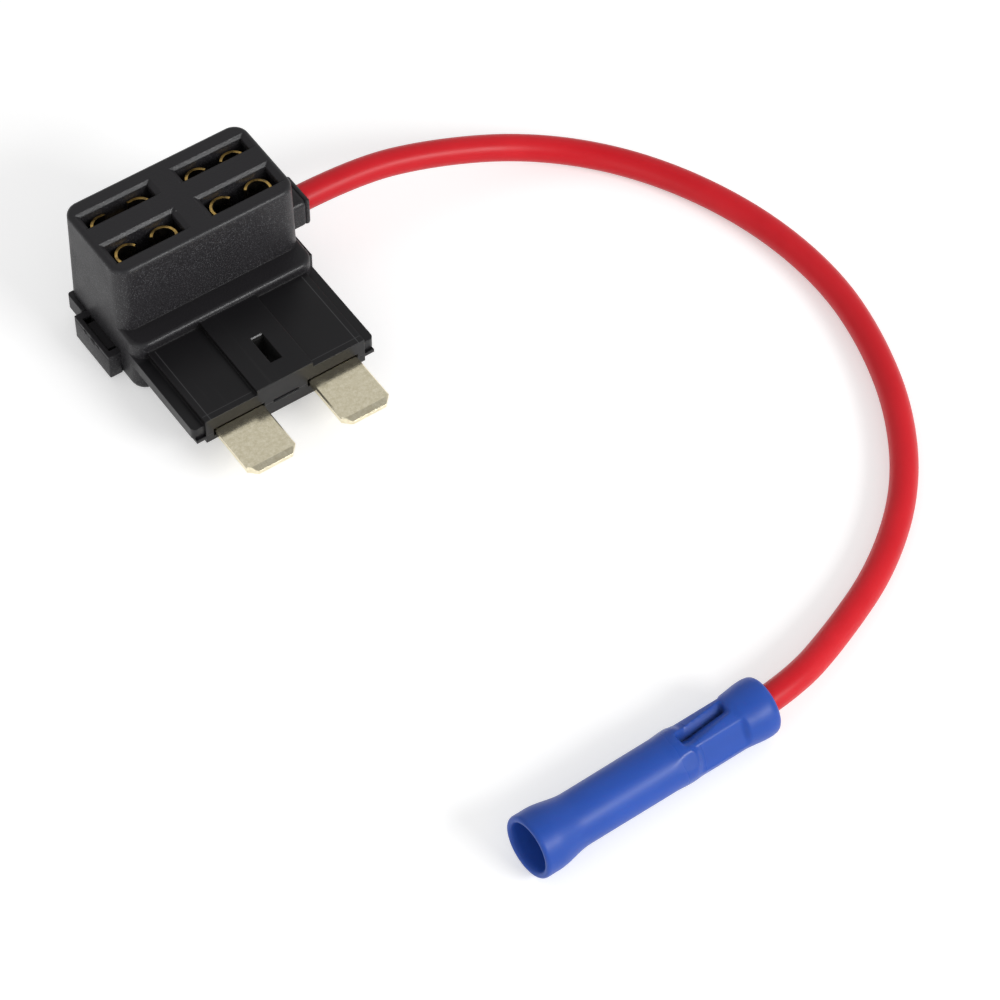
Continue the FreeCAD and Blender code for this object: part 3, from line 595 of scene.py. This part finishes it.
def lofted(name, rings, material):
    """A closed skin through rings round the sleeve's axis.

    Each ring is a place and a radius, which is a number or a function of the place and the angle.
    """
    mesh = bmesh.new()
    loops = []
    for at, shape in rings:
        drift = [low + (high - low) * at / SLEEVE_LENGTH for low, high in zip(*SLEEVE_DRIFT)]
        loop = []
        slanted = MOUTH_SLANT * (1 - eased(*SLANT_FADES, at))
        for turn in range(AROUND):
            angle = 2 * math.pi * turn / AROUND
            reach = shape(at, angle) if callable(shape) else shape
            x = SLEEVE_START[0] + drift[0] + at + slanted * math.cos(angle - math.radians(SLANT_ANGLE))
            y = SLEEVE_START[1] + drift[1] + reach * math.cos(angle)
            z = SLEEVE_START[2] + drift[2] + reach * math.sin(angle)
            loop.append(mesh.verts.new(from_housing(x, y, z)))
        loops.append(loop)
    for first, second in zip(loops, loops[1:] + loops[:1]):
        for turn in range(AROUND):
            after = (turn + 1) % AROUND
            mesh.faces.new((first[turn], first[after], second[after], second[turn]))
    bmesh.ops.recalc_face_normals(mesh, faces=mesh.faces)
    return keep(name, mesh, material)


def connector(sleeve_material, barrel_material):
    """The butt connector: a sleeve with belled ends, rounded lips and the tool's marks, over a barrel."""
    outside = [(at, pressed_outside) for at in places(0.3, 23.68, 0.14)]
    inside = [(at, bore) for at in places(24.0, 0.6, 0.2)]
    rings = MOUTH_LIP + outside + FAR_LIP + inside
    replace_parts(lofted("sleeve_pressed", rings, sleeve_material), "connector_sleeve")
    near, far = BARREL_ENDS
    rings = [(at, bore) for at in places(near, far, 0.2)]
    rings += [(at, barrel_bore) for at in places(far, near, 0.2)]
    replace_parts(lofted("barrel_pressed", rings, barrel_material), "connector_barrel")


def keep(name, mesh, material):
    """Turn a built mesh into a piece that rides on the part."""
    data = bpy.data.meshes.new(name)
    mesh.to_mesh(data)
    mesh.free()
    thing = bpy.data.objects.new(name, data)
    bpy.context.scene.collection.objects.link(thing)
    data.materials.append(material)
    smooth(thing)
    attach(thing, "root")
    return thing


def box(low, high):
    """A box mesh between two corners given in millimetres from the housing."""
    mesh = bmesh.new()
    for x in (low[0], high[0]):
        for y in (low[1], high[1]):
            for z in (low[2], high[2]):
                mesh.verts.new(from_housing(x, y, z))
    bmesh.ops.convex_hull(mesh, input=mesh.verts)
    return mesh


def block(name, low, high, round_by, material):
    """A block with rounded edges, its corners and rounding in millimetres."""
    mesh = box(low, high)
    bmesh.ops.dissolve_limit(mesh, angle_limit=0.01, verts=mesh.verts, edges=mesh.edges)
    bmesh.ops.bevel(mesh, geom=mesh.edges, offset=round_by / 1000, segments=3, affect="EDGES", profile=0.5)
    return keep(name, mesh, material)


def cut_out(thing, low, high):
    """Cut a box from a block."""
    data = bpy.data.meshes.new("hollow")
    mesh = box(low, high)
    mesh.to_mesh(data)
    mesh.free()
    tool = bpy.data.objects.new("hollow", data)
    bpy.context.scene.collection.objects.link(tool)
    cutter = thing.modifiers.new("hollow", "BOOLEAN")
    cutter.object = tool
    cutter.solver = "EXACT"
    bpy.context.view_layer.update()
    thing.data = bpy.data.meshes.new_from_object(thing.evaluated_get(bpy.context.evaluated_depsgraph_get()))
    thing.modifiers.clear()
    bpy.data.objects.remove(tool)


# A latch skirt, on the right side: its corners and those of its pocket, in millimetres from the housing.
SKIRT = ((9.55, -9.43, 0.5), (10.9, -3.37, 3.02))
SKIRT_POCKET = ((9.0, -8.7, 1.62), (10.42, -4.1, 4.0))
SKIRT_ROUNDING = 0.14
# Its gate marks lie on this plane; each has a place along Y and Z and a size.
GATE_PLANE = 10.88
GATE_MARKS = ((-5.2, 2.86, 0.3), (-6.5, 2.8, 0.42), (-7.4, 2.9, 0.26))
# A mark of size 1: half its thickness, length and height, in metres.
GATE_SHAPE = (0.0003, 0.0011, 0.0008)


def on_side(side, corners):
    """A box's low and high corner, mirrored to the left if the side is -1."""
    (low_x, *low), (high_x, *high) = corners
    return (min(side * low_x, side * high_x), *low), (max(side * low_x, side * high_x), *high)


def gate_mark(name, place, size, material):
    """A small flat blob where the plastic broke from its gate."""
    mesh = bmesh.new()
    bmesh.ops.create_icosphere(mesh, subdivisions=3, radius=1)
    shape = Matrix.Diagonal((*(size * half for half in GATE_SHAPE), 1))
    bmesh.ops.transform(mesh, matrix=Matrix.Translation(place) @ shape, verts=mesh.verts)
    keep(name, mesh, material)


def latch_skirts(material):
    """The latch loops' deep skirts, each with a pocket and its gate marks."""
    for side, name in ((-1, "left"), (1, "right")):
        skirt = block(f"latch_skirt_{name}", *on_side(side, SKIRT), SKIRT_ROUNDING, material)
        cut_out(skirt, *on_side(side, SKIRT_POCKET))
        for number, (y, z, size) in enumerate(GATE_MARKS):
            gate_mark(f"gate_mark_{name}_{number}", from_housing(side * GATE_PLANE, y, z), size, material)


def housing_trim(material):
    """The collar on the lead's boss and the lip of the slit in the band's front."""
    block("boss_collar", (11.9, -6.88, 4.28), (12.52, -3.12, 7.52), 0.3, material)
    block("slit_lip", (-1.32, -22.07, 3.2), (1.32, -21.95, 3.33), 0.05, material)


# Light: the world's level, its level overhead, and the white that the camera sees added to the lit paper.
WORLD_LIGHT = 0.76
OVERHEAD_LIGHT = 0.418
FLOOR_LIFT = 0.42
# The floor's width and middle, and the place that the lamps face.
FLOOR_SIZE = 3
FLOOR_MIDDLE = (0.02, -0.03, 0)
LAMP_TARGET = (0.01, -0.02, 0.005)


def studio():
    """Pale floor and surroundings that the camera sees as white, under soft light."""
    bpy.ops.mesh.primitive_plane_add(size=FLOOR_SIZE, location=FLOOR_MIDDLE)
    floor = bpy.context.object
    floor.name = "floor"
    shader = Shader("floor_paper")
    shader.fix(Base_Color=(0.8, 0.8, 0.8, 1), Roughness=0.9, Specular_IOR_Level=0.1)
    # The camera and reflections see some of the paper's white added, and the object's shadow stays.
    seen = shader.node("ShaderNodeLightPath")
    either = shader.math("MAXIMUM", (seen, "Is Camera Ray"), (seen, "Is Glossy Ray"))
    shader.fix(Emission_Color=(1, 1, 1, 1))
    shader.link(shader.math("MULTIPLY", either, FLOOR_LIFT), "Value", shader.surface, "Emission Strength")
    floor.data.materials.append(shader.material)

    world = bpy.data.worlds.new("studio")
    bpy.context.scene.world = world
    world.use_nodes = True
    tree = world.node_tree
    tree.nodes.clear()
    output = tree.nodes.new("ShaderNodeOutputWorld")
    # The room is a little darker straight overhead.
    place = tree.nodes.new("ShaderNodeTexCoord")
    parts = tree.nodes.new("ShaderNodeSeparateXYZ")
    level = tree.nodes.new("ShaderNodeMapRange")
    dimmed = {"From Min": 0.86, "From Max": 0.98, "To Min": WORLD_LIGHT, "To Max": OVERHEAD_LIGHT}
    for name, value in dimmed.items():
        level.inputs[name].default_value = value
    lit = tree.nodes.new("ShaderNodeBackground")
    tree.links.new(place.outputs["Generated"], parts.inputs["Vector"])
    tree.links.new(parts.outputs["Z"], level.inputs["Value"])
    tree.links.new(level.outputs["Result"], lit.inputs["Strength"])
    plain = tree.nodes.new("ShaderNodeBackground")
    plain.inputs["Strength"].default_value = 1.0
    path = tree.nodes.new("ShaderNodeLightPath")
    mix = tree.nodes.new("ShaderNodeMixShader")
    tree.links.new(path.outputs["Is Camera Ray"], mix.inputs["Fac"])
    tree.links.new(lit.outputs["Background"], mix.inputs[1])
    tree.links.new(plain.outputs["Background"], mix.inputs[2])
    tree.links.new(mix.outputs["Shader"], output.inputs["Surface"])

    lamp("front", (0.18, -0.42, 0.255), LAMP_TARGET, 1.35, 0.22, 0.15)
    lamp("front_low", (0.19, -0.46, 0.08), LAMP_TARGET, 0.15, 0.26, 0.15)
    lamp("left", (-0.42, -0.2, 0.14), LAMP_TARGET, 0.35, 0.35)


photo_camera()
studio()
black = housing_plastic()
tinned = tinned_sheet("tinned_blade", (0.78, 0.705, 0.50), (0.96, 0.89, 0.68))
brass = contact_brass()
barrel_tin = tinned_sheet("tinned_barrel", (0.6, 0.6, 0.58), (0.7, 0.7, 0.68))
red = insulation()
blue = sleeve_nylon()
copper = copper_strands()
for node, material in {
    "upper_housing": black,
    "back_cover": black,
    "supply_blade": tinned,
    "load_blade": tinned,
    "contact_front_left": brass,
    "contact_front_right": brass,
    "contact_back_left": brass,
    "lead_terminal": brass,
    "strands_in_crimp": copper,
    "strands_in_barrel": copper,
    "lead_in_boss": red,
}.items():
    dress(node, material)
    smooth(bpy.data.objects[node], HOUSING_CREASE if node == "upper_housing" else CREASE)
connector(blue, barrel_tin)
latch_skirts(black)
housing_trim(black)
free_lead(red)

bpy.context.scene.view_settings.view_transform = "Standard"
